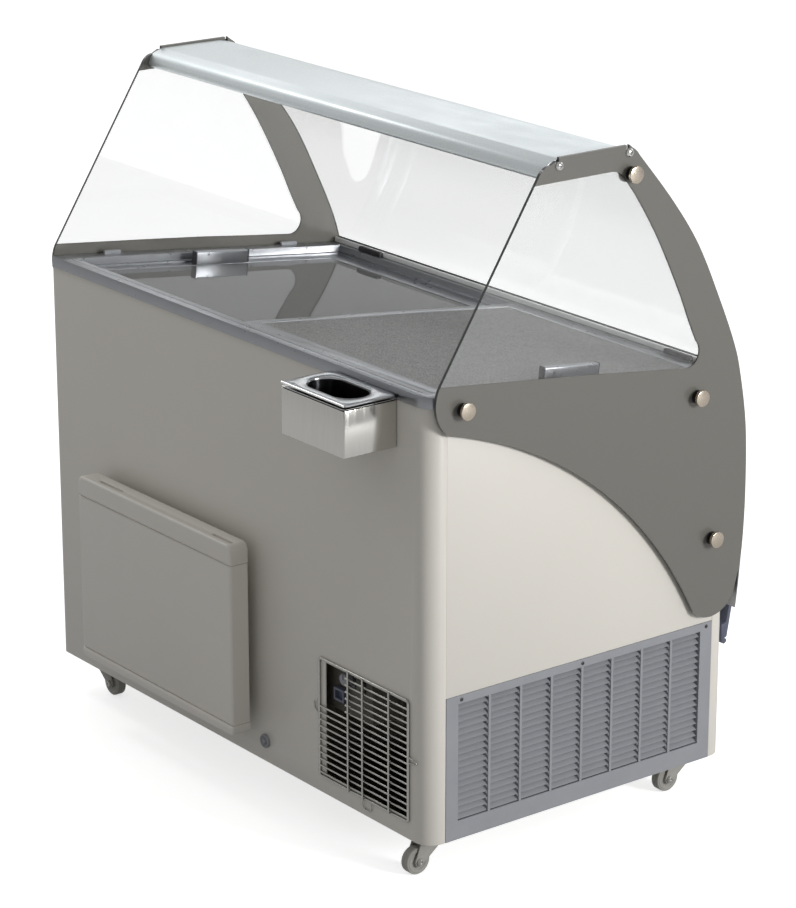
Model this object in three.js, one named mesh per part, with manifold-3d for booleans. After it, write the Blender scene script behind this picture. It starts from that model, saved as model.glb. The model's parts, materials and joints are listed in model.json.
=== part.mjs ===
// Scooping chest freezer with a glass display top, four casters and an operator side full of fittings.
// Millimetres, +Z up. +X is the machine end, -Y the operator side, +Y the customer side.
// The origin is on the floor, under the middle of the bounding box.

import * as THREE from 'three';
import { mergeVertices } from 'three/addons/utils/BufferGeometryUtils.js';
import Module from 'manifold-3d';

const wasm = await Module();
wasm.setup();

// ---------------------------------------------------------------- driving dimensions

const GAP = 0.3;                       // clearance between pieces that touch
const OVERLAP = 0.5;                   // how far joined volumes run into each other
const FAR = 1000;                      // beyond every face, for volumes that cut right through

const body = { halfX: 580.4, halfY: 345, bottom: 74, radius: 35, farRadius: 4, sheet: 2, seamY: 305.4 };
const slope = Math.atan(0.117);        // fall of the top frame from operator to customer side
const rimRear = 881;                   // rim height at the operator edge
const rim = { width: 34, band: 20, upperLedge: 13, upperSill: 10, lowerLedge: 29, lowerSill: 12, depth: 36 };
const screwGroove = { halfX: 540, inset: 20, half: 1, depth: 1.5 };
const foamTopDepth = rim.depth + 0.4;  // below the rim surface, measured square to it
const vent = { x0: 290, x1: 528, z0: 112, z1: 326 };
const bay = { x: 232, z: 345 };        // machine bay: everything beyond x and below z
const tank = { x: 525, y: 290, floorLeft: 140, floorRight: 405, stepX: 165, wall: 2 };
const lid = {
  length: 545.6, thick: 12.2, overlap: 20, divider: 20, endRail: 26, upperRail: 29, lowerRail: 36,
  glass: 9, travelStop: 10,
};
const handle = { length: 120, width: 14, height: 25 };
const glass = { inner: 586, outer: 592, thick: 6 };
const standoff = { cap: 15, disc: 6, reach: 609, neck: 9, stem: 5.5, spacer: 13 };
const canopy = { halfX: 585.5, top: 1248, sheet: 2.5 };
const grille = { halfY: 305, z0: 74.3, z1: 341, fieldY0: -279, fieldY1: 277, fieldZ0: 109, fieldZ1: 326 };
const wires = { x0: 272, x1: 533, z0: 105, z1: 334, pitch: 12.6, firstZ: 114.8, rows: 17, fullRows: 11 };
const drain = { x: 105, z: 114.5, bore: 11 };
const dipper = { x0: 320, x1: 497, y0: -456, z0: 778, z1: 863, plateTop: 871 };
const cover = {
  x0: -416, x1: 86, y0: -405, y1: -367, z0: 130, z1: 497, capTop: 458, capBottom: 150, radius: 14,
};
const caster = { x: 518, y: 290, trail: 32, wheelRadius: 25, wheelWidth: 20, axle: 4, padBottom: 70.5 };
const forkPlate = { thick: 2.5, top: 62, rear: 14, front: -28, eye: 9.5, bolt: 7, boltHead: 3 };
const pad = { halfX: 50, halfY: 38 };
const airSlots = { count: 5, x: 290, pitch: 40, width: 14, halfY: 120 };
const trimHalfX = 565;
const clip = { half: 35, v0: 318, v1: 326, height: 10, rightX: 453, leftX: -456 };
const well = { x: 410.5, y: -402.5, half: 63.5, radius: 32.5, floor: 788, wall: 2 };

// Everything in the machine bay stands on the base pan.
const panThick = 3;
const bayFloor = body.bottom + panThick + GAP;
const compressor = { x: 318, y: 120, footX: 72, footY: 95, footZ: 12, footThick: 4 };
const condenser = { x0: 512, x1: 556, y0: -150, y1: 190, z0: 96, z1: 322, fins: 14, fin: 8, pitch: 23.3 };
const fan = {
  y: 10, z: 205, radius: 95, motorX: 412, motorLength: 50, motorRadius: 38, hubX: 474, blades: 5,
};
const controls = {
  face: -325, x0: 250, x1: 400, z0: 236, z1: 328, depth: 62,
  knob: { x: 334, z: 306, radius: 12.5, height: 15 },
  rocker: { x: 374, z: 303, halfX: 8, halfZ: 11.5 },
  inlet: { x: 317, z: 271, halfX: 15, halfZ: 12, rim: 4, proud: 12 },
};

// ---------------------------------------------------------------- colours

const paint = { color: 0xdbd7cf, roughness: 0.45, metalness: 0 };
const capPlastic = { color: 0xd6d2c9, roughness: 0.5, metalness: 0 };
const aluminium = { color: 0x969ba5, roughness: 0.35, metalness: 0.9 };
const canopyAluminium = { color: 0xd7e3eb, roughness: 0.4, metalness: 0.8 };
const stainless = { color: 0xb4b4b4, roughness: 0.25, metalness: 1 };
const champagne = { color: 0xd7c8b9, roughness: 0.2, metalness: 1 };
const clearGlass = { color: 0xdfe6e4, roughness: 0.05, metalness: 0 };
const greyPlastic = { color: 0x9b9da1, roughness: 0.55, metalness: 0 };
const darkPlastic = { color: 0x3c3c3c, roughness: 0.6, metalness: 0 };
const slatePaint = { color: 0x5a5c69, roughness: 0.4, metalness: 0.6 };
const blackPaint = { color: 0x1c1c1c, roughness: 0.4, metalness: 0 };
const foamYellow = { color: 0xd8c78a, roughness: 0.9, metalness: 0 };
const casterGrey = { color: 0x8b8a85, roughness: 0.5, metalness: 0 };
const whiteSeal = { color: 0xf5f5f3, roughness: 0.6, metalness: 0 };

// ---------------------------------------------------------------- geometry helpers

function toSolid(geometry) {
  const bare = geometry.clone();
  bare.deleteAttribute('normal');
  bare.deleteAttribute('uv');
  const merged = mergeVertices(bare, 1e-4);
  return new wasm.Manifold(new wasm.Mesh({
    numProp: 3,
    vertProperties: new Float32Array(merged.attributes.position.array),
    triVerts: new Uint32Array(merged.index.array),
  }));
}

function toGeometry(solid) {
  const mesh = solid.getMesh();
  const geometry = new THREE.BufferGeometry();
  geometry.setAttribute('position', new THREE.BufferAttribute(mesh.vertProperties, 3));
  geometry.setIndex(new THREE.BufferAttribute(mesh.triVerts, 1));
  geometry.computeVertexNormals();
  return geometry;
}

const joined = (...solids) => solids.reduce((sum, solid) => sum.add(solid));
const without = (solid, ...cuts) => cuts.reduce((rest, cut) => rest.subtract(cut), solid);

function box(x0, x1, y0, y1, z0, z1) {
  const geometry = new THREE.BoxGeometry(x1 - x0, y1 - y0, z1 - z0);
  geometry.translate((x0 + x1) / 2, (y0 + y1) / 2, (z0 + z1) / 2);
  return toSolid(geometry);
}

function extruded(shape, depth, curveSegments) {
  return new THREE.ExtrudeGeometry(shape, { depth, curveSegments, bevelEnabled: false });
}

// Shapes drawn in the plane that the two letters name, swept along the third axis.
function sweepXY(shape, z0, z1, curveSegments = 6) {
  return toSolid(extruded(shape, z1 - z0, curveSegments).translate(0, 0, z0));
}

function sweepYZ(shape, x0, x1, curveSegments = 6) {
  const geometry = extruded(shape, x1 - x0, curveSegments);
  const turn = new THREE.Matrix4().set(0, 0, 1, x0, 1, 0, 0, 0, 0, 1, 0, 0, 0, 0, 0, 1);
  return toSolid(geometry.applyMatrix4(turn));
}

function sweepXZ(shape, y0, y1, curveSegments = 6) {
  const geometry = extruded(shape, y1 - y0, curveSegments);
  const turn = new THREE.Matrix4().set(1, 0, 0, 0, 0, 0, -1, y1, 0, 1, 0, 0, 0, 0, 0, 1);
  return toSolid(geometry.applyMatrix4(turn));
}

function polygon(points) {
  return new THREE.Shape(points.map(([x, y]) => new THREE.Vector2(x, y)));
}

// The corners at x1 have radius r, and those at x0 may have their own.
function roundedRect(x0, x1, y0, y1, r, r0 = r) {
  const shape = new THREE.Shape();
  shape.moveTo(x0 + r0, y0);
  shape.lineTo(x1 - r, y0);
  shape.absarc(x1 - r, y0 + r, r, -Math.PI / 2, 0);
  shape.lineTo(x1, y1 - r);
  shape.absarc(x1 - r, y1 - r, r, 0, Math.PI / 2);
  shape.lineTo(x0 + r0, y1);
  shape.absarc(x0 + r0, y1 - r0, r0, Math.PI / 2, Math.PI);
  shape.lineTo(x0, y0 + r0);
  shape.absarc(x0 + r0, y0 + r0, r0, Math.PI, 1.5 * Math.PI);
  return shape;
}

function roundedTop(x0, x1, y0, y1, r) {
  const shape = new THREE.Shape();
  shape.moveTo(x0, y0);
  shape.lineTo(x1, y0);
  shape.lineTo(x1, y1 - r);
  shape.absarc(x1 - r, y1 - r, r, 0, Math.PI / 2);
  shape.lineTo(x0 + r, y1);
  shape.absarc(x0 + r, y1 - r, r, Math.PI / 2, Math.PI);
  return shape;
}

// A lathe around `axis` through the point `at`; the profile lists [radius, distance along the axis].
function turned(profile, axis, at, segments = 24) {
  const points = profile.map(([r, h]) => new THREE.Vector2(r, h));
  const geometry = new THREE.LatheGeometry(points, segments);
  if (axis === 'x') geometry.rotateZ(-Math.PI / 2);
  if (axis === 'z') geometry.rotateX(Math.PI / 2);
  return toSolid(geometry.translate(...at));
}

function cylinder(axis, radius, from, length, segments = 16) {
  const profile = [[0, 0], [radius, 0], [radius, length], [0, length]];
  return turned(profile, axis, from, segments);
}

function mesh(name, solid, look) {
  const part = new THREE.Mesh(toGeometry(solid), new THREE.MeshStandardMaterial(look));
  part.name = name;
  return part;
}

// ---------------------------------------------------------------- the sloping top plane

// Local frame of the top: v runs down the slope, w stands square to it, w = 0 is the rim surface.
const top = {
  z: rimRear - Math.tan(slope) * body.halfY,
  halfV: body.halfY / Math.cos(slope),
};

const slopedTop = new THREE.Group();
slopedTop.rotation.x = -slope;
slopedTop.position.z = top.z;

function aboveTop(w) {
  const big = new THREE.BoxGeometry(1400, 1000, 400);
  big.translate(0, 0, 200 + w);
  big.rotateX(-slope);
  big.translate(0, 0, top.z);
  return toSolid(big);
}

// ---------------------------------------------------------------- cabinet

function bodyOutline(inset) {
  const x = body.halfX - inset;
  const y = body.halfY - inset;
  return roundedRect(-x, x, -y, y, body.radius - inset, Math.max(body.farRadius - inset, 1));
}

function makeCabinet() {
  const shape = bodyOutline(0);
  shape.holes.push(bodyOutline(body.sheet));
  const walls = sweepXY(shape, body.bottom, FAR).subtract(aboveTop(-rim.band - GAP));
  const split = body.seamY - GAP / 2;
  const post = body.seamY + GAP / 2;
  const ventHole = box(vent.x0, vent.x1, -FAR, 0, vent.z0, vent.z1);
  const drainHole = cylinder('y', drain.bore, [drain.x, -FAR, drain.z], FAR);
  const rear = walls.intersect(box(-FAR, FAR, -FAR, -post, 0, FAR));
  const front = walls.intersect(box(-FAR, FAR, post, FAR, 0, FAR));
  const right = walls.intersect(box(0, FAR, -split, split, grille.z1 + GAP, FAR));
  const left = walls.intersect(box(-FAR, 0, -split, split, 0, FAR));
  return [
    mesh('rear_panel', without(rear, ventHole, drainHole), paint),
    mesh('front_panel', front, paint),
    mesh('end_panel_right', right, paint),
    mesh('end_panel_left', left, paint),
  ];
}

function makeBasePan() {
  const floor = sweepXY(bodyOutline(body.sheet + GAP), body.bottom, body.bottom + panThick);
  const pads = [-1, 1].flatMap((sx) => [-1, 1].map((sy) => box(
    sx * caster.x - pad.halfX, sx * caster.x + pad.halfX,
    sy * caster.y - pad.halfY, sy * caster.y + pad.halfY,
    caster.padBottom, body.bottom + OVERLAP,
  )));
  const slots = Array.from({ length: airSlots.count }, (_, i) => {
    const x = airSlots.x + airSlots.pitch * i;
    return box(x, x + airSlots.width, -airSlots.halfY, airSlots.halfY, 0, FAR);
  });
  return mesh('base_pan', without(joined(floor, ...pads), ...slots), stainless);
}

function tankVolume(grow, openTop) {
  const x = tank.x + grow;
  const stepX = tank.stepX + grow;
  const left = tank.floorLeft - grow;
  const right = tank.floorRight - grow;
  const outline = polygon([
    [-x, left], [stepX, left], [stepX, right], [x, right], [x, openTop], [-x, openTop],
  ]);
  return sweepXZ(outline, -tank.y - grow, tank.y + grow);
}

function makeInsulation() {
  const block = sweepXY(bodyOutline(body.sheet + 0.4), body.bottom + panThick + 0.4, FAR);
  const machineBay = box(bay.x, FAR, -FAR, FAR, 0, bay.z);
  const drainBore = cylinder('y', drain.bore + 1, [drain.x, -400, drain.z], 100);
  return mesh('foam_insulation', without(
    block, machineBay, drainBore, tankVolume(GAP, FAR), aboveTop(-foamTopDepth),
  ), foamYellow);
}

function makeLiner() {
  const shell = tankVolume(0, FAR).subtract(tankVolume(-tank.wall, 2 * FAR));
  return mesh('tank_liner', shell.subtract(aboveTop(-foamTopDepth)), stainless);
}

// ---------------------------------------------------------------- top frame and sliding lids

function makeTopFrame() {
  const outer = roundedRect(-body.halfX, body.halfX, -top.halfV, top.halfV, body.radius, body.farRadius);
  const ring = sweepXY(outer, -rim.depth, 0);
  const skirt = roundedRect(-700, 700, -500, 500, 10);
  const tuck = 4;
  const skirtX = body.halfX - tuck;
  const skirtV = top.halfV - tuck - 2.6;
  skirt.holes.push(roundedRect(-skirtX, skirtX, -skirtV, skirtV, body.radius - tuck, 1));
  const pocket = (inset, z0) => box(
    -body.halfX + inset, body.halfX - inset, -top.halfV + inset, top.halfV - inset, z0, 10,
  );
  const lowerInset = rim.width + rim.upperSill;
  const grooves = [-1, 1].map((side) => {
    const v = side * (top.halfV - screwGroove.inset);
    const { halfX, half, depth } = screwGroove;
    return box(-halfX, halfX, v - half, v + half, -depth, FAR);
  });
  const frame = without(
    ring, sweepXY(skirt, -rim.depth - 10, -rim.band),
    pocket(rim.width, -rim.upperLedge), pocket(lowerInset, -rim.lowerLedge),
    pocket(lowerInset + rim.lowerSill, -rim.depth - 10), ...grooves,
  );
  return mesh('top_frame', frame, aluminium);
}

// side is +1 for the upper lid at the machine end and -1 for the lower lid at the far end.
function makeLid(name, side, rail, halfV, w1) {
  const w0 = w1 - lid.thick;
  const ends = [-lid.overlap * (side < 0 ? 1 : 0), lid.length - (side < 0 ? lid.travelStop : 0)];
  const [x0, x1] = side > 0 ? ends : [-ends[1], -ends[0]];
  const inner = side > 0 ? [x0 + lid.divider, x1 - lid.endRail] : [x0 + lid.endRail, x1 - lid.divider];
  const lip = 4;
  const paneBottom = w1 - 1 - lid.glass;
  const within = (inset, z0, z1) => box(
    inner[0] + inset, inner[1] - inset, -halfV + rail + inset, halfV - rail - inset, z0, z1,
  );
  const opening = within(0, paneBottom - GAP, FAR);
  const through = within(lip, -FAR, FAR);
  const frame = without(box(x0, x1, -halfV, halfV, w0, w1), opening, through);
  const pane = within(GAP, paneBottom, paneBottom + lid.glass);
  const gripX = side > 0 ? inner[1] : inner[0] - handle.width;
  return [
    mesh(`${name}_frame`, frame, aluminium),
    mesh(`${name}_glass`, pane, clearGlass),
    makeHandle(`${name}_handle`, gripX, w1 + GAP),
  ];
}

function makeHandle(name, x0, w0) {
  const half = handle.length / 2;
  const outline = roundedTop(x0, x0 + handle.width, w0, w0 + handle.height, 3);
  return mesh(name, sweepXZ(outline, -half, half, 4), aluminium);
}

function makeTop() {
  const upperV = top.halfV - rim.width - 0.8;
  const lowerV = upperV - rim.upperSill;
  slopedTop.add(
    makeTopFrame(),
    ...makeLid('lid_upper', 1, lid.upperRail, upperV, -0.4),
    ...makeLid('lid_lower', -1, lid.lowerRail, lowerV, -rim.lowerLedge + 0.4 + lid.thick),
    makeGlassClip('glass_clip_right', clip.rightX),
    makeGlassClip('glass_clip_left', clip.leftX),
    makeSeal(),
  );
  return slopedTop;
}

function makeGlassClip(name, x) {
  const outline = roundedTop(x - clip.half, x + clip.half, GAP, clip.height, clip.height / 2);
  return mesh(name, sweepXZ(outline, clip.v0, clip.v1, 4), darkPlastic);
}

function makeSeal() {
  const profile = polygon([[326.5, GAP], [334, GAP], [334, 8], [331, 9.5], [326.5, 9.5]]);
  return mesh('front_glass_seal', sweepYZ(profile, -582, 582), whiteSeal);
}

// ---------------------------------------------------------------- side glass

const buttons = {
  rear: { y: -282.6, z: 854.5, inner: body.halfX },
  mid: { y: 242, z: 777.9, inner: body.halfX },
  low: { y: 287, z: 506.3, inner: body.halfX },
  top: { y: 76, z: 1201.6, inner: 578 },
};
const notches = [{ y: -85, z: 1238 }, { y: 69, z: 1239 }];

// The customer edge of the side glass, from the bottom lobe to the canopy.
const frontEdge = [
  [348.4, 404.4], [361.5, 462], [366.6, 570], [362.2, 700], [344.3, 804], [326.6, 863], [290.5, 945],
  [236.7, 1052], [173.8, 1140], [94.8, 1231.6],
].map(([y, z]) => new THREE.Vector2(y, z));

// An arc between two points that bulges to the left of the way from the first to the second.
function arcTo(shape, from, to, radius, clockwise) {
  const chord = to.clone().sub(from);
  const half = chord.length() / 2;
  const rise = Math.sqrt(radius * radius - half * half);
  const normal = new THREE.Vector2(-chord.y, chord.x).normalize();
  const centre = from.clone().add(to).multiplyScalar(0.5);
  centre.addScaledVector(normal, clockwise ? -rise : rise);
  const start = from.clone().sub(centre).angle();
  const end = to.clone().sub(centre).angle();
  shape.absarc(centre.x, centre.y, radius, start, end, clockwise);
}

function sideGlassOutline() {
  const at = (y, z) => new THREE.Vector2(y, z);
  const shape = new THREE.Shape();
  shape.moveTo(-332, 897);
  arcTo(shape, at(-332, 897), at(-310.8, 814), 67, false);
  arcTo(shape, at(-310.8, 814), at(249.9, 369.9), 853, true);
  arcTo(shape, at(249.9, 369.9), at(348.4, 404.4), 60, false);
  shape.splineThru(frontEdge.slice(1));
  arcTo(shape, at(94.8, 1231.6), at(46, 1251.5), 58, false);
  shape.lineTo(-77, 1251.5);
  shape.lineTo(-100, 1240);
  arcTo(shape, at(-100, 1240), at(-125.9, 1222), 30, false);
  return shape;
}

function makeSideGlass() {
  const sheet = sweepYZ(sideGlassOutline(), glass.inner, glass.outer, 5);
  const bore = standoff.stem + OVERLAP;
  const bores = Object.values(buttons).map(({ y, z }) => cylinder('x', bore, [500, y, z], 200, 10));
  const slots = notches.map(({ y, z }) => box(500, 700, y - 3, y + 3, z, 1300));
  const right = without(sheet, ...bores, ...slots);
  return [
    mesh('side_glass_right', right, clearGlass),
    mesh('side_glass_left', right.mirror([1, 0, 0]), clearGlass),
  ];
}

// A stand-off bolt: a flat disc on a neck, a stem through the glass and a spacer on the cabinet side.
function makeStandoffs() {
  const { cap, disc, reach, neck, stem, spacer } = standoff;
  const chamfer = 1;
  return Object.entries(buttons).flatMap(([name, { y, z, inner }]) => {
    const profile = [
      [0, inner + GAP], [spacer, inner + GAP], [spacer, glass.inner - GAP], [stem, glass.inner - GAP],
      [stem, glass.outer + GAP], [neck, glass.outer + GAP], [neck, reach - disc],
      [cap - chamfer, reach - disc], [cap, reach - disc + chamfer],
      [cap, reach - chamfer], [cap - chamfer, reach], [0, reach],
    ];
    const right = turned(profile, 'x', [0, y, z], 16);
    return [
      mesh(`standoff_right_${name}`, right, champagne),
      mesh(`standoff_left_${name}`, right.mirror([1, 0, 0]), champagne),
    ];
  });
}

// ---------------------------------------------------------------- front glass, front sheet and trim

function offsetCurve(points, distance) {
  return points.map((point, i) => {
    const before = points[Math.max(i - 1, 0)];
    const after = points[Math.min(i + 1, points.length - 1)];
    const along = after.clone().sub(before).normalize();
    return new THREE.Vector2(point.x - along.y * distance, point.y + along.x * distance);
  });
}

function curvedSheet(outer, thickness, x0, x1) {
  const inner = offsetCurve(outer, thickness);
  const outline = [...outer, ...inner.reverse()].map((point) => [point.x, point.y]);
  return sweepYZ(polygon(outline), x0, x1);
}

function makeFrontGlass() {
  const curve = new THREE.SplineCurve(frontEdge.slice(4));
  const lowest = 0.012;
  const highest = 0.985;
  const outer = Array.from({ length: 15 }, (_, i) => curve.getPoint(lowest + (highest - lowest) * (i / 14)));
  return mesh('front_glass', curvedSheet(outer, glass.thick, -585.5, 585.5), clearGlass);
}

function makeFrontSheet() {
  const foot = new THREE.Vector2(357.6, 355.4);
  const head = new THREE.Vector2(345, 800);
  const radius = 1340;
  const half = foot.distanceTo(head) / 2;
  const along = head.clone().sub(foot).normalize();
  const centre = foot.clone().add(head).multiplyScalar(0.5);
  centre.addScaledVector(new THREE.Vector2(-along.y, along.x), Math.sqrt(radius ** 2 - half ** 2));
  const start = foot.clone().sub(centre).angle() - 2 * Math.PI;
  const span = Math.asin(half / radius) * 1.9;
  const outer = Array.from({ length: 11 }, (_, i) => {
    const angle = start + span * (i / 10);
    return new THREE.Vector2(centre.x + radius * Math.cos(angle), centre.y + radius * Math.sin(angle));
  });
  outer.push(new THREE.Vector2(349.3, 798));
  return mesh('front_sheet', curvedSheet(outer, 2.5, -585.4, 585.4), aluminium);
}

function makeFrontTrim() {
  const face = body.halfY + GAP;
  const section = [
    [face, 284], [351.2, 279.4], [356, 281], [358.4, 284.5], [356.5, 288.5], [353.3, 290.6], [358.4, 292.5],
    [369.5, 354.8], [363, 355], [356, 321], [face, 318],
  ];
  return mesh('front_trim', sweepYZ(polygon(section), -trimHalfX, trimHalfX), slatePaint);
}

// ---------------------------------------------------------------- canopy

function canopyOutline(inset) {
  const shape = new THREE.Shape();
  shape.moveTo(-112 + inset, 1216);
  shape.lineTo(-104 + inset, 1234);
  shape.quadraticCurveTo(-97 + inset, canopy.top - inset, -80, canopy.top - inset);
  shape.lineTo(48, canopy.top - inset);
  shape.lineTo(90 - inset, 1236 - inset / 2);
  shape.lineTo(90 - inset, 1232);
  return shape;
}

function makeCanopy() {
  const outer = sweepYZ(canopyOutline(0), -canopy.halfX, canopy.halfX);
  const hollow = canopyOutline(canopy.sheet);
  hollow.lineTo(90 - canopy.sheet, 1200);
  hollow.lineTo(-112 + canopy.sheet, 1200);
  const shell = outer.subtract(sweepYZ(hollow, -600, 600));
  return mesh('canopy', shell, canopyAluminium);
}

function makeCanopyEndPlates() {
  const shape = new THREE.Shape();
  shape.moveTo(-106, 1217);
  shape.lineTo(-100, 1234);
  shape.lineTo(-84, canopy.top - canopy.sheet - 0.6);
  shape.lineTo(46, canopy.top - canopy.sheet - 0.6);
  shape.lineTo(84, 1233);
  shape.lineTo(88, 1196);
  shape.absarc(buttons.top.y, buttons.top.z - 2, 15, 0, Math.PI, true);
  shape.lineTo(46, 1217);
  const right = sweepYZ(shape, 575, 578);
  return [
    mesh('canopy_end_plate_right', right, aluminium),
    mesh('canopy_end_plate_left', right.mirror([1, 0, 0]), aluminium),
  ];
}

function makeCanopyLamp() {
  const z1 = canopy.top - canopy.sheet - GAP;
  const profile = [[-34, z1], [-34, 1230], [-26, 1221], [6, 1221], [14, 1230], [14, z1]];
  return mesh('canopy_lamp', sweepYZ(polygon(profile), -540, 540), whiteSeal);
}

// ---------------------------------------------------------------- grilles

function makeEndGrille() {
  const x0 = 578.5;
  const x1 = 581.5;
  const plate = box(x0, x1, -grille.halfY, grille.halfY, grille.z0, grille.z1);
  const field = box(x0 - 20, x1 + 20, grille.fieldY0, grille.fieldY1, grille.fieldZ0, grille.fieldZ1);
  const columns = 8;
  const rows = 18;
  const pitchY = (grille.fieldY1 - grille.fieldY0) / columns;
  const pitchZ = (grille.fieldZ1 - grille.fieldZ0) / rows;
  const bars = Array.from({ length: columns - 1 }, (_, i) => {
    const y = grille.fieldY0 + pitchY * (i + 1);
    return box(x0 + 0.7, x1 - 0.5, y - 2.5, y + 2.5, grille.fieldZ0 - 1, grille.fieldZ1 + 1);
  });
  const slats = Array.from({ length: rows }, (_, i) => {
    const z = grille.fieldZ0 + pitchZ * i;
    const blade = polygon([[568, z + 9], [578.2, z + 0.8], [579, z + 1.9], [568.8, z + 10.1]]);
    return sweepXZ(blade, grille.fieldY0 - 1, grille.fieldY1 + 1);
  });
  const sides = [grille.fieldY0 - 3, grille.fieldY1].map((y) => box(568, x0 + 1, y, y + 3, 106, 329));
  return mesh('end_grille', joined(without(plate, field), ...bars, ...sides, ...slats), greyPlastic);
}

function makeWireGrille() {
  const face = -body.halfY - GAP;
  const frameWire = 5;
  const outline = roundedRect(wires.x0, wires.x1, wires.z0, wires.z1, 9);
  outline.holes.push(roundedRect(
    wires.x0 + frameWire, wires.x1 - frameWire, wires.z0 + frameWire, wires.z1 - frameWire, 4,
  ));
  const frame = sweepXZ(outline, face - frameWire, face, 3);
  const uprights = [363, 405, 480].map((x) => box(
    x - 2, x + 2, face - 2.8, face - 0.2, wires.z0 + 2, wires.z1 - 2,
  ));
  const rows = Array.from({ length: wires.rows }, (_, i) => {
    const z = wires.firstZ + wires.pitch * i;
    const x0 = i < wires.fullRows ? wires.x0 + 2 : 352;
    return cylinder('x', 1.9, [x0, face - 4.8, z], wires.x1 - 2 - x0, 6);
  });
  return mesh('wire_grille', joined(frame, ...uprights, ...rows), stainless);
}

// ---------------------------------------------------------------- operator side fittings

function makeDrainPlug() {
  const face = -body.halfY - GAP;
  const stem = drain.bore - 1.5;
  const profile = [
    [0, -6], [5, -6], [6, -3], [9, -3], [10, -5], [13, -4], [13, 0], [stem, 0], [stem, 20], [0, 20],
  ];
  return mesh('drain_plug', turned(profile, 'y', [drain.x, face, drain.z], 16), greyPlastic);
}

function stadium(cx, cy, halfLength, r) {
  const shape = new THREE.Shape();
  const straight = halfLength - r;
  shape.absarc(cx + straight, cy, r, -Math.PI / 2, Math.PI / 2);
  shape.absarc(cx - straight, cy, r, Math.PI / 2, 1.5 * Math.PI);
  return shape;
}

function makeDipper() {
  const wall = 1.5;
  const back = -body.halfY - 0.4;
  const casing = without(
    box(dipper.x0, dipper.x1, dipper.y0, back, dipper.z0, dipper.z1),
    box(dipper.x0 + wall, dipper.x1 - wall, dipper.y0 + wall, back - wall, dipper.z0 + wall, 900),
    box(dipper.x0 - 5, dipper.x1 + 5, back - 3, back + 5, 860.6, 900),
  );
  const plate = box(322, 499, -454, -349.5, dipper.z1 + GAP, dipper.plateTop);
  const under = box(325, 496, -451, -352.5, dipper.z1 - 5, dipper.plateTop - 2.5);
  const slot = (grow, z0, z1) => sweepXY(
    stadium(well.x, well.y, well.half + grow, well.radius + grow), z0, z1, 10,
  );
  const mouth = slot(0, well.floor, FAR);
  const tubTop = dipper.plateTop - 2.5 - GAP;
  const tubOuter = slot(1 + well.wall, well.floor - well.wall, tubTop);
  const tubInner = slot(1, well.floor, FAR);
  return [
    mesh('dipper_box', casing, stainless),
    mesh('dipper_top', without(plate, under, mouth), stainless),
    mesh('dipper_basin', without(tubOuter, tubInner), stainless),
  ];
}

function makeNightCover() {
  const { x0, x1, y0, y1, z0, z1, capTop, capBottom, radius } = cover;
  const channel = box(-345, 15, y1 - 9, y1 + 5, 0, 440);
  const slab = box(x0, x1, y0, y1, capBottom, capTop).subtract(channel);
  const proud = 1;
  const cap = sweepXZ(roundedTop(x0 - proud, x1 + proud, capTop + GAP, z1, radius), y0 - proud, y1, 5);
  const gripSlots = [[-360, -282], [12, 74]].map(([a, b]) => box(a, b, -394, -387, z1 - 12, z1 + 5));
  const foot = sweepXZ(roundedRect(x0 - proud, x1 + proud, z0, capBottom - GAP, 9), y0 - proud, y1, 3);
  const lip = y1 - 7;
  const wallFace = -body.halfY - GAP;
  const cleat = polygon([
    [wallFace, 395], [wallFace, 437], [wallFace - 2.5, 437], [wallFace - 2.5, 404], [lip + 2.5, 404],
    [lip + 2.5, 434], [lip, 434], [lip, 401], [wallFace - 2.5, 401], [wallFace - 2.5, 395],
  ]);
  return [
    mesh('night_cover', slab, capPlastic),
    mesh('night_cover_top_cap', without(cap, ...gripSlots), capPlastic),
    mesh('night_cover_bottom_cap', foot.subtract(channel), capPlastic),
    mesh('night_cover_cleat', sweepYZ(cleat, -325, -5), stainless),
  ];
}

// ---------------------------------------------------------------- machine bay

function makeCompressor() {
  const { x, y, footX, footY, footZ, footThick } = compressor;
  const z = bayFloor;
  const shell = [
    [0, z + 14], [50, z + 14], [68, z + 24], [74, z + 40], [74, z + 60], [78, z + 62], [78, z + 66],
    [74, z + 68], [73, z + 118], [64, z + 138], [40, z + 150], [0, z + 154],
  ];
  const outline = roundedRect(x - footX, x + footX, y - footY, y + footY, 12);
  const feet = sweepXY(outline, z + footZ, z + footZ + footThick, 3);
  const grommets = [-1, 1].flatMap((sx) => [-1, 1].map(
    (sy) => cylinder('z', 11, [x + sx * (footX - 14), y + sy * (footY - 15), z], footZ + OVERLAP, 10),
  ));
  const terminal = box(x - 26, x + 26, y - 98, y - 70, z + 60, z + 118);
  const stub = cylinder('z', 4, [x + 45, y, z + 130], 45, 10);
  return mesh('compressor', joined(
    turned(shell, 'z', [x, y, 0], 24), feet, ...grommets, terminal, stub,
  ), blackPaint);
}

function makeCondenser() {
  const { x0, x1, y0, y1, z0, z1, fins, fin, pitch } = condenser;
  const header = 8;
  const block = box(x0, x1, y0, y1, z0, z1);
  const grooves = Array.from({ length: fins }, (_, i) => {
    const y = y0 + 12 + pitch * i;
    return box(x1 - 12, x1 + 5, y, y + fin, z0 + header, z1 - header);
  });
  const foot = box(x0 + header, x1 - header, y0, y1, bayFloor, z0 + OVERLAP);
  return mesh('condenser', joined(without(block, ...grooves), foot), stainless);
}

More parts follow.
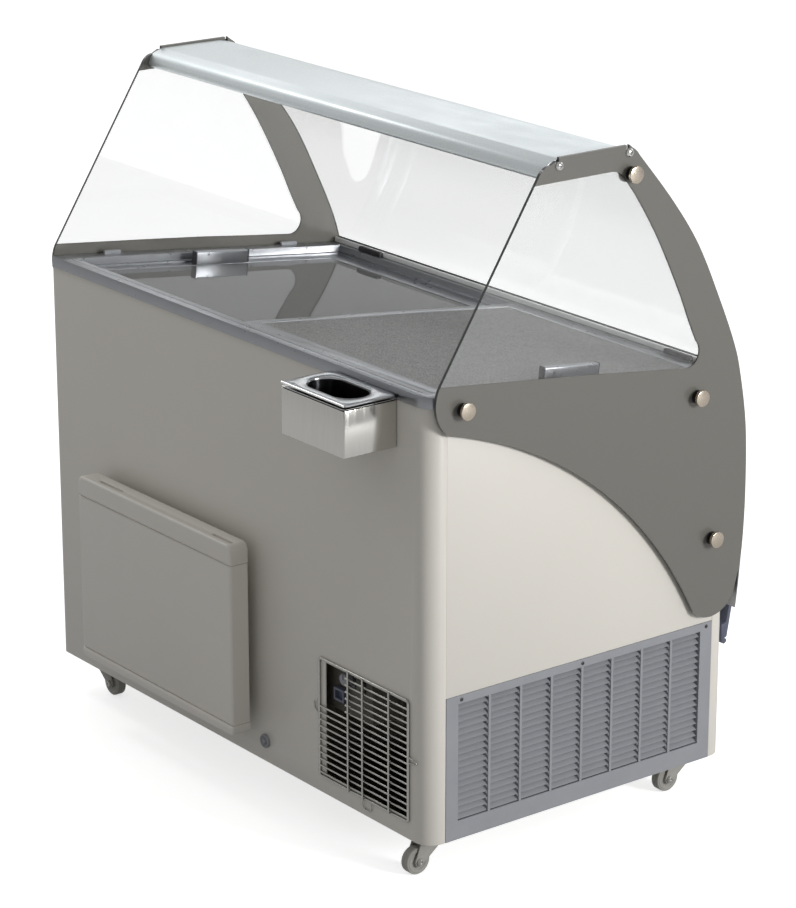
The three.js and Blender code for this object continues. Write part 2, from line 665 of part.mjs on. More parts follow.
function makeFan() {
  const { y, z, motorX, motorLength, motorRadius, hubX } = fan;
  const shaft = { radius: 4, start: motorX + motorLength - 1 };
  const post = { x0: motorX + 8, x1: motorX + 32, half: 20 };
  const foot = { x0: motorX - 7, x1: motorX + 47, half: 45, thick: 4 };
  const hubRadius = 22;
  const hubLength = 18;
  const blade = { thick: 2, width: 46, root: hubRadius - 2, pitch: 0.35 };
  const motor = joined(
    cylinder('x', motorRadius, [motorX, y, z], motorLength, 20),
    cylinder('x', shaft.radius, [shaft.start, y, z], hubX - 1 - shaft.start, 12),
    box(post.x0, post.x1, y - post.half, y + post.half, bayFloor, z),
    box(foot.x0, foot.x1, y - foot.half, y + foot.half, bayFloor, bayFloor + foot.thick),
  );
  const hub = cylinder('x', hubRadius, [hubX, y, z], hubLength, 20);
  const blades = Array.from({ length: fan.blades }, (_, i) => {
    const length = fan.radius - blade.root;
    const geometry = new THREE.BoxGeometry(blade.thick, blade.width, length);
    geometry.translate(0, 0, blade.root + length / 2);
    geometry.rotateZ(blade.pitch);
    geometry.rotateX((2 * Math.PI * i) / fan.blades);
    geometry.translate(hubX + hubLength / 2, y, z);
    return toSolid(geometry);
  });
  return [
    mesh('fan_motor', motor, blackPaint),
    mesh('fan_blade', joined(hub, ...blades), greyPlastic),
  ];
}

function makeControls() {
  const { face, x0, x1, z0, z1, depth, knob, rocker, inlet } = controls;
  const flange = 10;
  const casing = joined(
    box(x0, x1, face, face + depth, z0, z1),
    box(x0 - flange, x1 + flange, face + depth - 2, face + depth + 1, z0 - flange, bay.z - GAP),
  ).subtract(box(
    rocker.x - rocker.halfX, rocker.x + rocker.halfX, face - 5, face + 6,
    rocker.z - rocker.halfZ, rocker.z + rocker.halfZ,
  ));
  const grip = turned([
    [0, -knob.height], [knob.radius - 2.5, -knob.height], [knob.radius - 1, 2 - knob.height],
    [knob.radius, 0], [0, 0],
  ], 'y', [knob.x, face - GAP, knob.z], 20);
  const front = face - GAP - knob.height;
  const pointer = box(knob.x - 1, knob.x + 1, front - 1.5, front + 5, knob.z, knob.z + knob.radius - 1.5);
  const tilt = polygon([
    [face - GAP, -9], [face - 4, -10], [face - 2.5, 0], [face - 6.5, 10], [face - GAP, 9],
  ]);
  const halfRocker = rocker.halfX - 1;
  const switchBody = sweepYZ(tilt, rocker.x - halfRocker, rocker.x + halfRocker).translate([0, 0, rocker.z]);
  const shell = (inset, y0, y1) => box(
    inlet.x - inlet.halfX + inset, inlet.x + inlet.halfX - inset, y0, y1,
    inlet.z - inlet.halfZ + inset, inlet.z + inlet.halfZ - inset,
  );
  const recess = shell(inlet.rim, face - 2 * inlet.proud, face - 4);
  const socket = shell(0, face - inlet.proud, face - GAP).subtract(recess);
  return [
    mesh('control_box', casing, greyPlastic),
    mesh('thermostat_knob', joined(grip, pointer), greyPlastic),
    mesh('power_switch', switchBody, darkPlastic),
    mesh('power_inlet', socket, slatePaint),
  ];
}

// ---------------------------------------------------------------- casters

// Built trailing towards -Y under the origin, then turned and placed.
function casterPieces() {
  const { trail, wheelRadius: r, wheelWidth, axle, padBottom } = caster;
  const { thick, top: crownTop, rear, front, eye, bolt, boltHead } = forkPlate;
  const inner = wheelWidth / 2 + 1;
  const outer = inner + thick;
  const head = cylinder('z', 20, [0, 0, padBottom - 5 - GAP], 5, 24);
  const crown = sweepXY(roundedRect(-outer, outer, front, rear, 4), crownTop - 2, padBottom - 4, 3);
  const side = new THREE.Shape();
  side.moveTo(rear, crownTop);
  side.lineTo(front, crownTop);
  side.lineTo(-trail - eye + OVERLAP, r + 3);
  side.absarc(-trail, r, eye, Math.PI * 0.9, Math.PI * 1.85);
  side.lineTo(rear, crownTop - 12);
  const cheeks = [-outer, inner].map((x) => sweepYZ(side, x, x + thick, 5));
  const pin = cylinder('x', axle, [-outer - boltHead, -trail, r], 2 * (outer + boltHead), 12);
  const heads = [-outer - boltHead, outer].map((x) => cylinder('x', bolt, [x, -trail, r], boltHead, 12));
  const segments = 28;
  const tread = r / Math.cos(Math.PI / segments);
  const half = wheelWidth / 2;
  const profile = [
    [axle + 0.4, -half], [r - 6, -half + 1.5], [tread - 1.5, -half], [tread, -half + 1.5],
    [tread, half - 1.5], [tread - 1.5, half], [r - 6, half - 1.5], [axle + 0.4, half], [axle + 0.4, -half],
  ];
  const facet = new THREE.LatheGeometry(profile.map(([a, b]) => new THREE.Vector2(a, b)), segments);
  facet.rotateY(Math.PI / segments);
  facet.rotateZ(-Math.PI / 2);
  facet.translate(0, -trail, r);
  return { fork: joined(head, crown, ...cheeks, pin, ...heads), wheel: toSolid(facet) };
}

function makeCasters() {
  const { fork, wheel } = casterPieces();
  const places = [
    ['rear_right', 1, -1, 0], ['rear_left', -1, -1, 90], ['front_right', 1, 1, 0], ['front_left', -1, 1, 0],
  ];
  return places.flatMap(([name, sx, sy, turn]) => {
    const put = (solid) => solid.rotate([0, 0, turn]).translate([sx * caster.x, sy * caster.y, 0]);
    return [
      mesh(`caster_fork_${name}`, put(fork), casterGrey),
      mesh(`caster_wheel_${name}`, put(wheel), casterGrey),
    ];
  });
}

// ---------------------------------------------------------------- assembly

const freezer = new THREE.Group();
freezer.add(
  ...makeCabinet(), makeBasePan(), makeInsulation(), makeLiner(), makeTop(),
  ...makeSideGlass(), ...makeStandoffs(),
  makeFrontGlass(), makeFrontSheet(), makeFrontTrim(),
  makeCanopy(), ...makeCanopyEndPlates(), makeCanopyLamp(),
  makeEndGrille(), makeWireGrille(), makeDrainPlug(),
  ...makeDipper(), ...makeNightCover(),
  makeCompressor(), makeCondenser(), ...makeFan(), ...makeControls(),
  ...makeCasters(),
);

const middle = new THREE.Box3().setFromObject(freezer).getCenter(new THREE.Vector3());
freezer.position.y = -middle.y;

export default freezer;
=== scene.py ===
"""Looks for a chest freezer for scooped ice cream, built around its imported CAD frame.

Sizes are in millimetres in the cabinet's own frame (x along the freezer, y towards the customer,
z up, origin on the floor under the middle of the cabinet) until point() turns them into metres.
"""

import json
import math

import bmesh
import bpy
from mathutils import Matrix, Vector


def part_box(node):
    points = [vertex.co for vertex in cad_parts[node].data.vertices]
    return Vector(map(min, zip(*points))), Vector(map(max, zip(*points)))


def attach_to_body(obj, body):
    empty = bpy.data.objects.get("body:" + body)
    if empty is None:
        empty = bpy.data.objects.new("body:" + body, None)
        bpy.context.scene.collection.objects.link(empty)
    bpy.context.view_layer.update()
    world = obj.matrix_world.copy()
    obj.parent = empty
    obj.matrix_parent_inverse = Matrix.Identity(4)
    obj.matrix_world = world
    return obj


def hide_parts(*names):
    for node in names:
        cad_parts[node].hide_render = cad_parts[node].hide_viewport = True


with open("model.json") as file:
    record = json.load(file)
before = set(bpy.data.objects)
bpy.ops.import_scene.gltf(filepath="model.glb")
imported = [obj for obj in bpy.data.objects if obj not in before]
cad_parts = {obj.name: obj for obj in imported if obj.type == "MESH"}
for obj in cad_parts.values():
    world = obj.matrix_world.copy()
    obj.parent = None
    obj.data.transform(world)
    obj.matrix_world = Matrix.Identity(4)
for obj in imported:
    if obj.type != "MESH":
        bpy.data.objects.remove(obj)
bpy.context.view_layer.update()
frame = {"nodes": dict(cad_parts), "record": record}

MM = 0.001
CABINET_HALF_DEPTH = 345.0
Y_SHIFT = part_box("rear_panel")[0].y / MM + CABINET_HALF_DEPTH  # from the cabinet's middle to the frame's
SLOPE = math.atan(0.117)  # fall of the top towards the customer
TOP_Z = 881 - math.tan(SLOPE) * CABINET_HALF_DEPTH  # height of the rim surface above the middle


def point(x, y, z):
    """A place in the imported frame, in metres, from millimetres in the cabinet's own frame."""
    return Vector((x, y + Y_SHIFT, z)) * MM


def cabinet_box(node):
    """The lowest and highest corner of a CAD node, in millimetres in the cabinet's own frame."""
    return [corner / MM - Vector((0, Y_SHIFT, 0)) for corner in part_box(node)]


def on_top(x, v, w):
    """A place on the sloping top: v down the slope, w square to it above the rim surface."""
    y = v * math.cos(SLOPE) + w * math.sin(SLOPE)
    z = TOP_Z - v * math.sin(SLOPE) + w * math.cos(SLOPE)
    return (x, y, z)


def place_object(name, data):
    """A new object in the scene for some data."""
    made = bpy.data.objects.new(name, data)
    bpy.context.scene.collection.objects.link(made)
    return made


def linear(red, green, blue):
    """A linear colour from 8-bit display values."""
    values = [c / 255 for c in (red, green, blue)]
    return tuple(c / 12.92 if c <= 0.04045 else ((c + 0.055) / 1.055) ** 2.4 for c in values) + (1.0,)


# ---------------------------------------------------------------- materials


class Nodes:
    """Short calls that add nodes to a tree and link them."""

    def __init__(self, tree):
        self.tree = tree

    def feed(self, socket, value):
        if isinstance(value, bpy.types.NodeSocket):
            self.tree.links.new(value, socket)
        else:
            socket.default_value = value

    def node(self, kind, **inputs):
        node = self.tree.nodes.new(kind)
        for name, value in inputs.items():
            self.feed(node.inputs[name.replace("_", " ")], value)
        return node

    def combine(self, operation, first, second):
        """A sum, product or the like of two values."""
        node = self.node("ShaderNodeMath")
        node.operation = operation
        self.feed(node.inputs[0], first)
        self.feed(node.inputs[1], second)
        return node.outputs[0]

    def mix(self, factor, first, second):
        """A colour between two others."""
        node = self.node("ShaderNodeMix")
        node.data_type = "RGBA"
        for name, value in (("Factor", factor), ("A", first), ("B", second)):
            self.feed(node.inputs[name], value)
        return node.outputs["Result"]

    def ranged(self, value, low, high, from_low, from_high, curve="LINEAR"):
        """low to high as value goes from from_low to from_high, and no further."""
        node = self.node(
            "ShaderNodeMapRange", Value=value, From_Min=from_low, From_Max=from_high, To_Min=low, To_Max=high
        )
        node.interpolation_type = curve
        return node.outputs["Result"]


class Shader(Nodes):
    """A material with one Principled shader."""

    def __init__(self, name, colour, roughness, metallic=0.0, **sockets):
        self.material = bpy.data.materials.new(name)
        self.material.use_nodes = True
        super().__init__(self.material.node_tree)
        self.shader = self.tree.nodes["Principled BSDF"]
        self.colour = colour
        self.roughness = roughness
        self.set("Base Color", colour)
        self.set("Roughness", roughness)
        self.set("Metallic", metallic)
        for socket, value in sockets.items():
            self.set(socket.replace("_", " "), value)
        self.object_space = self.node("ShaderNodeTexCoord").outputs["Object"]

    def set(self, socket, value):
        """Give one of the shader's own sockets a value or a link."""
        self.feed(self.shader.inputs[socket], value)

    def noise(self, scale, detail=2.0, stretch=(1, 1, 1), roughness=0.5):
        mapping = self.node("ShaderNodeMapping", Vector=self.object_space, Scale=stretch)
        noise = self.node(
            "ShaderNodeTexNoise", Vector=mapping.outputs[0], Scale=scale, Detail=detail, Roughness=roughness
        )
        return noise.outputs["Fac"]

    def follow(self, noise, low, high):
        """low to high over the middle of a noise's range, which holds most of it."""
        return self.ranged(noise, low, high, 0.3, 0.7)

    def vary_colour(self, noise, spread):
        """Lighten and darken the base colour by up to spread."""
        low = tuple(c * (1 - spread) for c in self.colour[:3]) + (1,)
        high = tuple(min(1, c * (1 + spread)) for c in self.colour[:3]) + (1,)
        self.set("Base Color", self.mix(self.follow(noise, 0, 1), low, high))
        return self

    def vary_roughness(self, noise, spread):
        self.set("Roughness", self.follow(noise, self.roughness - spread, self.roughness + spread))
        return self

    def bump(self, height, strength, distance):
        bump = self.node("ShaderNodeBump", Height=height, Strength=strength, Distance=distance)
        self.set("Normal", bump.outputs["Normal"])
        return self


def enamel(name, colour, roughness=0.42, peel=0.12, coat=0.25):
    """Sprayed enamel: faint mottling, orange peel, and a thin gloss over it."""
    look = Shader(name, colour, roughness, Coat_Weight=coat, Coat_Roughness=0.25)
    look.vary_colour(look.noise(3.0, 3), 0.012)
    look.vary_roughness(look.noise(40, 3), 0.05)
    return look.bump(look.noise(900, 2), peel, 0.00006).material


def moulded(name, colour, roughness=0.5, grain=0.15, scale=1500):
    """Moulded plastic: fine spark-eroded grain and slightly uneven gloss."""
    look = Shader(name, colour, roughness)
    look.vary_colour(look.noise(25, 4), 0.03)
    look.vary_roughness(look.noise(120, 3), 0.06)
    return look.bump(look.noise(scale, 2), grain, 0.0001).material


def brushed(name, colour, roughness, stretch, spread=0.08, depth=0.12):
    """Brushed metal. stretch shrinks the noise across the grain, so that it draws out into lines."""
    look = Shader(name, colour, roughness, metallic=1.0)
    lines = look.noise(650, 3, stretch, 0.7)
    look.vary_colour(lines, spread)
    look.vary_roughness(look.noise(180, 3, stretch), 0.05)
    return look.bump(lines, depth, 0.00003).material


def satin(name, colour, roughness):
    """Anodised aluminium: an even satin face, only faintly clouded."""
    look = Shader(name, colour, roughness, metallic=1.0)
    look.vary_colour(look.noise(30, 3), 0.02)
    return look.vary_roughness(look.noise(60, 3), 0.03).material


def polished(name, colour, roughness):
    """Bright metal with a trace of handling."""
    look = Shader(name, colour, roughness, metallic=1.0)
    look.vary_colour(look.noise(80, 3), 0.03)
    return look.vary_roughness(look.noise(300, 4), 0.04).material


def glass(name, tint, roughness=0.0, haze=0.0):
    """Glass that lets lamplight through to what stands behind it. haze clouds it."""
    look = Shader(name, tint, roughness, Transmission_Weight=1.0 - haze, IOR=1.45)
    look.vary_colour(look.noise(2.0, 2), 0.004)
    mix = look.node("ShaderNodeMixShader", Fac=look.node("ShaderNodeLightPath").outputs["Is Shadow Ray"])
    clear = look.node("ShaderNodeBsdfTransparent", Color=tuple(c ** 0.5 for c in tint[:3]) + (1,))
    look.feed(mix.inputs[1], look.shader.outputs[0])
    look.feed(mix.inputs[2], clear.outputs[0])
    look.feed(look.tree.nodes["Material Output"].inputs["Surface"], mix.outputs[0])
    return look.material


def frosted(name, colour):
    """Etched glass: a grey speckle that hides most of what lies below."""
    look = Shader(name, colour, 0.38, Transmission_Weight=0.35, IOR=1.3)
    look.vary_colour(look.noise(380, 1), 0.6)
    return look.vary_roughness(look.noise(60, 2), 0.04).material


def printed(name, colour):
    """Ceramic ink fired onto glass: fine speckle under a glossy face."""
    look = Shader(name, colour, 0.4, Coat_Weight=0.7, Coat_Roughness=0.03)
    return look.vary_colour(look.noise(1400, 2), 0.06).material


def ground_edge(name, colour):
    """The slightly glossy edge of cut glass, green-tinted and darkened further as painted shade for the dark
    look that reflection inside the pane gives it.
    """
    look = Shader(name, colour, 0.2, Coat_Weight=0.5, Coat_Roughness=0.1)
    return look.vary_colour(look.noise(20, 3), 0.15).material


def sparkling(name, colour, roughness, stretch):
    """Bead-blasted then brushed aluminium, with bright grains."""
    look = Shader(name, colour, roughness, metallic=0.7, Specular_IOR_Level=0.6)
    grain = look.noise(1100, 3, stretch)
    look.vary_colour(grain, 0.10)
    look.vary_roughness(look.noise(30, 3, stretch), 0.06)
    return look.bump(grain, 0.25, 0.0001).material


# How noise is stretched for a brushed grain that runs along z, or that has no direction.
ALONG_Z = (1, 1, 0.03)
EVEN = (1, 1, 1)
CREAM = linear(222, 218, 210)

LOOKS = {
    "cream_paint": enamel("cream_enamel", CREAM),
    "cap_plastic": enamel("cream_plastic", linear(224, 220, 212), 0.42, 0.05, 0.3),
    "anodised": satin("anodised_aluminium", linear(158, 160, 164), 0.3),
    "canopy_aluminium": sparkling("canopy_aluminium", linear(240, 250, 254), 0.42, (0.35, 1, 1)),
    "stainless": brushed("brushed_steel", linear(190, 189, 185), 0.22, ALONG_Z, 0.08, 0.1),
    "champagne_metal": polished("champagne_metal", linear(200, 189, 174), 0.26),
    "clear_glass": glass("clear_glass", (0.945, 0.952, 0.95, 1)),
    "grey_plastic": moulded("grey_plastic", linear(148, 150, 155), 0.45),
    "dark_plastic": moulded("dark_plastic", linear(58, 58, 60), 0.5),
    # Partly a dark trim, partly painted shade: it is darkened where the back of the curved front sheet lies
    # in shade.
    "slate_paint": enamel("slate_enamel_and_painted_shade", linear(86, 90, 108), 0.35),
    "black_paint": enamel("black_enamel", linear(30, 30, 32), 0.35),
    "foam": moulded("foam", linear(216, 199, 138), 0.9, 0.6, 300),
    "caster_grey": moulded("caster_plastic", linear(158, 156, 150), 0.36),
    "white_seal": moulded("white_silicone", linear(244, 244, 242), 0.5, 0.05),
}

LID_GLASS = glass("lid_glass", (0.27, 0.272, 0.27, 1), 0.03, haze=0.45)
FROSTED_LID = frosted("frosted_lid_glass", linear(134, 134, 132))
PRINT = printed("glass_print", linear(105, 103, 97))
# Partly the glass's own green tint, partly painted shade for the dark edge lines that inner reflection makes.
GLASS_EDGE_PAINTED_SHADE = ground_edge("glass_edge_painted_shade", linear(52, 56, 54))
CHROME = polished("bright_steel", linear(226, 226, 224), 0.08)
# The plate's steel brightened for its rolled bead: a painted highlight along the front edge.
BEAD_PAINTED_HIGHLIGHT = polished("bead_steel_painted_highlight", linear(244, 244, 244), 0.22)
# The neck is the studs' champagne metal darkened: painted shade under the disc.
NECK_PAINTED_SHADE = polished("stud_neck_painted_shade", linear(96, 88, 78), 0.3)
DARK_RUBBER = moulded("dark_rubber", linear(36, 36, 36), 0.7)
FIN_METAL = brushed("fin_aluminium", linear(120, 122, 124), 0.45, ALONG_Z, 0.15)
COPPER = polished("copper", linear(178, 112, 84), 0.3)
# A galvanised lining for the machine bay, darkened below its own grey as painted shade inside the bay.
BAY_LINING_PAINTED_SHADE = brushed("galvanised_sheet_painted_shade", linear(122, 116, 106), 0.55, EVEN, 0.2)
# The basin's steel is coloured near black: painted shade deep down inside the well's mouth.
BASIN_PAINTED_SHADE = brushed("basin_steel_painted_shade", linear(34, 34, 36), 0.35, ALONG_Z, 0.1)
CONTROL_PLATE = moulded("control_plate", linear(92, 88, 80), 0.55)
WIRE_STEEL = polished("grille_wire", linear(186, 185, 180), 0.3)
DIPPER_TOP = satin("polished_plate", linear(192, 194, 197), 0.17)
DIPPER_STEEL = brushed("dipper_steel", linear(208, 206, 201), 0.15, ALONG_Z, 0.04, 0.015)


# ---------------------------------------------------------------- CAD nodes that stay

SHARP = math.radians(32)  # an edge that turns by more than this stays an edge


def smooth_shading():
    """A geometry node group that shades smooth except over sharp edges."""
    group = bpy.data.node_groups.new("smooth_by_angle", "GeometryNodeTree")
    group.interface.new_socket("Geometry", in_out="INPUT", socket_type="NodeSocketGeometry")
    group.interface.new_socket("Geometry", in_out="OUTPUT", socket_type="NodeSocketGeometry")
    source = group.nodes.new("NodeGroupInput")
    out = group.nodes.new("NodeGroupOutput")
    faces = group.nodes.new("GeometryNodeSetShadeSmooth")
    edges = group.nodes.new("GeometryNodeSetShadeSmooth")
    edges.domain = "EDGE"
    edges.inputs["Shade Smooth"].default_value = False
    angle = group.nodes.new("GeometryNodeInputMeshEdgeAngle")
    sharp = group.nodes.new("FunctionNodeCompare")
    sharp.operation = "GREATER_THAN"
    sharp.inputs["B"].default_value = SHARP
    group.links.new(source.outputs[0], faces.inputs["Geometry"])
    group.links.new(faces.outputs[0], edges.inputs["Geometry"])
    group.links.new(angle.outputs["Unsigned Angle"], sharp.inputs["A"])
    group.links.new(sharp.outputs[0], edges.inputs["Selection"])
    group.links.new(edges.outputs[0], out.inputs[0])
    return group


SMOOTH = smooth_shading()


def soften(piece, width):
    """Round the sharp edges of a piece by width millimetres and shade it smooth."""
    weld = piece.modifiers.new("weld", "WELD")
    weld.merge_threshold = 0.02 * MM
    if width:
        bevel = piece.modifiers.new("round_edges", "BEVEL")
        bevel.width = width * MM
        bevel.segments = 2
        bevel.limit_method = "ANGLE"
        bevel.angle_limit = SHARP
        bevel.use_clamp_overlap = True
    piece.modifiers.new("smooth", "NODES").node_group = SMOOTH


SLOT_OF = {entry["node"]: entry["material_slot"] for entry in frame["record"]["subparts"]}
# How far the edges of each material's nodes are rounded, and the nodes that differ.
EDGE_WIDTH = {
    "cream_paint": 0.5, "cap_plastic": 2.0, "anodised": 0.5, "stainless": 0.3, "grey_plastic": 0.3,
    "caster_grey": 0.6, "black_paint": 1.0, "slate_paint": 0.5, "white_seal": 0.5, "dark_plastic": 0.8,
}
OWN_WIDTH = {"top_frame": 1.2, "end_grille": 0}
OWN_LOOKS = {
    "foam_insulation": BAY_LINING_PAINTED_SHADE, "dipper_basin": BASIN_PAINTED_SHADE, "control_box": CONTROL_PLATE,
    "lid_upper_glass": FROSTED_LID, "lid_lower_glass": LID_GLASS,
}


def dress_cad():
    """Looks and rounded edges for every CAD node; the pieces below replace some of them."""
    for name, node in frame["nodes"].items():
        slot = SLOT_OF[name]
        node.data.materials.clear()
        node.data.materials.append(OWN_LOOKS.get(name, LOOKS[slot]))
        soften(node, OWN_WIDTH.get(name, EDGE_WIDTH.get(slot, 0)))


# ---------------------------------------------------------------- piece helpers


def mesh_data(name, mesh):
    """Mesh data in metres from a bmesh in millimetres, which it uses up."""
    bmesh.ops.recalc_face_normals(mesh, faces=mesh.faces[:])
    for vertex in mesh.verts:
        vertex.co = point(*vertex.co)
    data = bpy.data.meshes.new(name)
    mesh.to_mesh(data)
    mesh.free()
    return data


def attach(piece, body, replaces):
    """Let a piece ride a body and stand in for the CAD nodes that it replaces."""
    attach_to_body(piece, body)
    if replaces:
        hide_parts(*replaces)


def add_piece(name, mesh, materials, body, replaces=()):
    """Make a riding piece from a bmesh in millimetres."""
    piece = place_object(name, mesh_data(name, mesh))
    for material in materials if isinstance(materials, list) else [materials]:
        piece.data.materials.append(material)
    attach(piece, body, replaces)
    return piece


def rods(name, paths, radius, material, body, replaces=(), closed=False):
    """Round wires along paths of points in millimetres, all in one curve."""
    curve = bpy.data.curves.new(name, "CURVE")
    curve.dimensions = "3D"
    curve.bevel_depth = radius * MM
    curve.bevel_resolution = 3
    curve.use_fill_caps = True
    for path in paths:
        spline = curve.splines.new("POLY")
        spline.points.add(len(path) - 1)
        for target, p in zip(spline.points, path):
            target.co = (*point(*p), 1)
        spline.use_cyclic_u = closed
        spline.use_smooth = True
    curve.materials.append(material)
    attach(place_object(name, curve), body, replaces)


def cut_away(piece, cutter):
    """Cut a volume, given as a bmesh in millimetres, out of a piece."""
    tool = place_object("cutter", mesh_data("cutter", cutter))
    cut = piece.modifiers.new("cut", "BOOLEAN")
    cut.object = tool
    cut.solver = "EXACT"
    bpy.context.view_layer.update()
    result = bpy.data.meshes.new_from_object(piece.evaluated_get(bpy.context.evaluated_depsgraph_get()))
    piece.modifiers.clear()
    piece.data = result
    bpy.data.objects.remove(tool)


def arc(centre, radius, start, end, steps):
    """Points on an arc, with angles in degrees."""
    angles = [math.radians(start + (end - start) * i / steps) for i in range(steps + 1)]
    return [(centre[0] + radius * math.cos(a), centre[1] + radius * math.sin(a)) for a in angles]


def arc_between(start, end, radius, bulge_left, steps):
    """Points after start on an arc to end; its centre lies left or right of the way there."""
    a, b = Vector(start), Vector(end)
    chord = b - a
    rise = math.sqrt(radius ** 2 - (chord.length / 2) ** 2)
    normal = Vector((-chord.y, chord.x)).normalized()
    centre = (a + b) / 2 + normal * (rise if bulge_left else -rise)
    first = math.atan2(*(a - centre).yx)
    last = math.atan2(*(b - centre).yx)
    turn = (last - first) % (2 * math.pi)
    if not bulge_left:
        turn -= 2 * math.pi
    angles = [first + turn * i / steps for i in range(1, steps + 1)]
    return [tuple(centre + radius * Vector((math.cos(t), math.sin(t)))) for t in angles]


def spline_through(points, steps):
    """Points on a smooth curve through the given points, steps of them per stretch."""
    knots = [Vector(p) for p in points]
    curve = [knots[0]]
    for i in range(len(knots) - 1):
        a, b, c, d = (knots[max(0, min(len(knots) - 1, i + k))] for k in (-1, 0, 1, 2))
        for j in range(1, steps + 1):
            t = j / steps
            v0, v1 = (c - a) / 2, (d - b) / 2
            curve.append(
                (2 * b - 2 * c + v0 + v1) * t ** 3 + (-3 * b + 3 * c - 2 * v0 - v1) * t ** 2 + v0 * t + b
            )
    return [tuple(p) for p in curve]


def rounded_rect(x0, x1, y0, y1, r, steps=6):
    """A rectangle's outline, with steps points on each rounded corner."""
    corners = [(x1 - r, y0 + r, -90), (x1 - r, y1 - r, 0), (x0 + r, y1 - r, 90), (x0 + r, y0 + r, 180)]
    return [p for cx, cy, a in corners for p in arc((cx, cy), r, a, a + 90, steps)]


def stadium(cx, cy, half, r, steps=20):
    """A slot's outline with round ends, half being half its whole length."""
    right = arc((cx + half - r, cy), r, -90, 90, steps)
    return right + arc((cx - half + r, cy), r, 90, 270, steps)


PLANES = {
    "yz": lambda a, b, c: (c, a, b),
    "xz": lambda a, b, c: (a, c, b),
    "xy": lambda a, b, c: (a, b, c),
}


def level(outline, z):
    """A flat outline raised to a height."""
    return [(x, y, z) for x, y in outline]


def loft(loops, mesh=None, close_first=False, close_last=False):
    """Quads between rings of the same number of points."""
    mesh = mesh or bmesh.new()
    rings = [[mesh.verts.new(p) for p in loop] for loop in loops]
    for lower, upper in zip(rings, rings[1:]):
        for i in range(len(lower)):
            j = (i + 1) % len(lower)
            mesh.faces.new((lower[i], lower[j], upper[j], upper[i]))
    if close_first:
        mesh.faces.new(rings[0])
    if close_last:
        mesh.faces.new(rings[-1])
    return mesh


def sweep(outline, plane, start, end, mesh=None):
    """A closed outline in one plane, swept along the third axis. Its two end faces come last."""
    place = PLANES[plane]
    loops = [[place(a, b, c) for a, b in outline] for c in (start, end)]
    return loft(loops, mesh, close_first=True, close_last=True)


def welded(mesh):
    """A bmesh with the points that lie on each other joined."""
    bmesh.ops.remove_doubles(mesh, verts=mesh.verts[:], dist=1e-4)
    return mesh


def turned(profile, centre, axis, steps=48, mesh=None):
    """A lathe: the profile lists (radius, distance along the axis), from and to the axis or closed."""
    order = {"x": (2, 0, 1), "y": (0, 2, 1), "z": (0, 1, 2)}[axis]
    rings = []
    for radius, along in profile:
        ring = []
        for i in range(steps):
            angle = 2 * math.pi * i / steps
            local = (radius * math.cos(angle), radius * math.sin(angle), along)
            ring.append(tuple(centre[k] + local[order[k]] for k in range(3)))
        rings.append(ring)
    return welded(loft(rings, mesh))


def turned_on_side(side, profile, y, z, steps=48):
    """A lathe round a crosswise axis, its profile mirrored on the left side."""
    return turned([(radius, side * x) for radius, x in profile], (0, y, z), "x", steps)


# ---------------------------------------------------------------- side panels of printed glass

SIDES = {1: "right", -1: "left"}
SIDE_INNER, SIDE_OUTER = 586.0, 592.0
PANE_END = 585.5  # where the front pane and the canopy end, just inside the side glasses
CLEAR, INKED, GROUND = range(3)  # material indexes on a side glass
BUTTONS = {"rear": (-282.6, 854.5), "mid": (242, 777.9), "low": (287, 506.3), "top": (76, 1201.6)}
NOTCHES = ((-85, 1238), (69, 1239))
FRONT_EDGE = (
    (348.4, 404.4), (361.5, 462), (366.6, 570), (362.2, 700), (344.3, 804), (326.6, 863), (290.5, 945),
    (236.7, 1052), (173.8, 1140), (94.8, 1231.6),
)
WINDOW_LOW = (-330.2, 899.8)
WINDOW_HIGH = (-133.5, 1210)


def printed_edge():
    """The outer edge of the print, from the window's top corner round to its lower rear corner."""
    notch_half, notch_top = 3, 1251.5
    edge = [WINDOW_HIGH, (-125.9, 1222)]
    edge += arc_between((-125.9, 1222), (-100, 1240), 30, False, 8)
    for y, z in NOTCHES:
        bottom = arc((y, z), notch_half, 180, 360, 8)
        edge += [(y - notch_half, notch_top if y > 0 else 1246)] + bottom + [(y + notch_half, notch_top)]
    front = spline_through(list(reversed(FRONT_EDGE)), 8)
    edge += arc_between((76, 1247), (94.8, 1231.6), 40, False, 6)
    edge += front[1:]
    edge += arc_between((348.4, 404.4), (249.9, 369.9), 60, False, 20)
    edge += arc_between((249.9, 369.9), (-310.8, 814), 853, True, 48)
    edge += arc_between((-310.8, 814), (-332, 897), 67, False, 16)
    edge.append(WINDOW_LOW)
    return edge


def window_edge():
    """The print's inner edge, from the window's lower rear corner round to its top one."""
    edge = [WINDOW_LOW, (-118.6, 876), (10, 861), (105.5, 848), (212, 834.5)]
    edge += arc_between((212, 834.5), (237, 880), 27, True, 12)
    front = [(237, 880), (218.8, 919), (193.6, 977), (144.6, 1074), (97, 1151), (66, 1192)]
    edge += spline_through(front, 6)[1:]
    edge += arc_between((66, 1192), (33, 1210), 40, True, 8)
    edge.append(WINDOW_HIGH)
    return edge


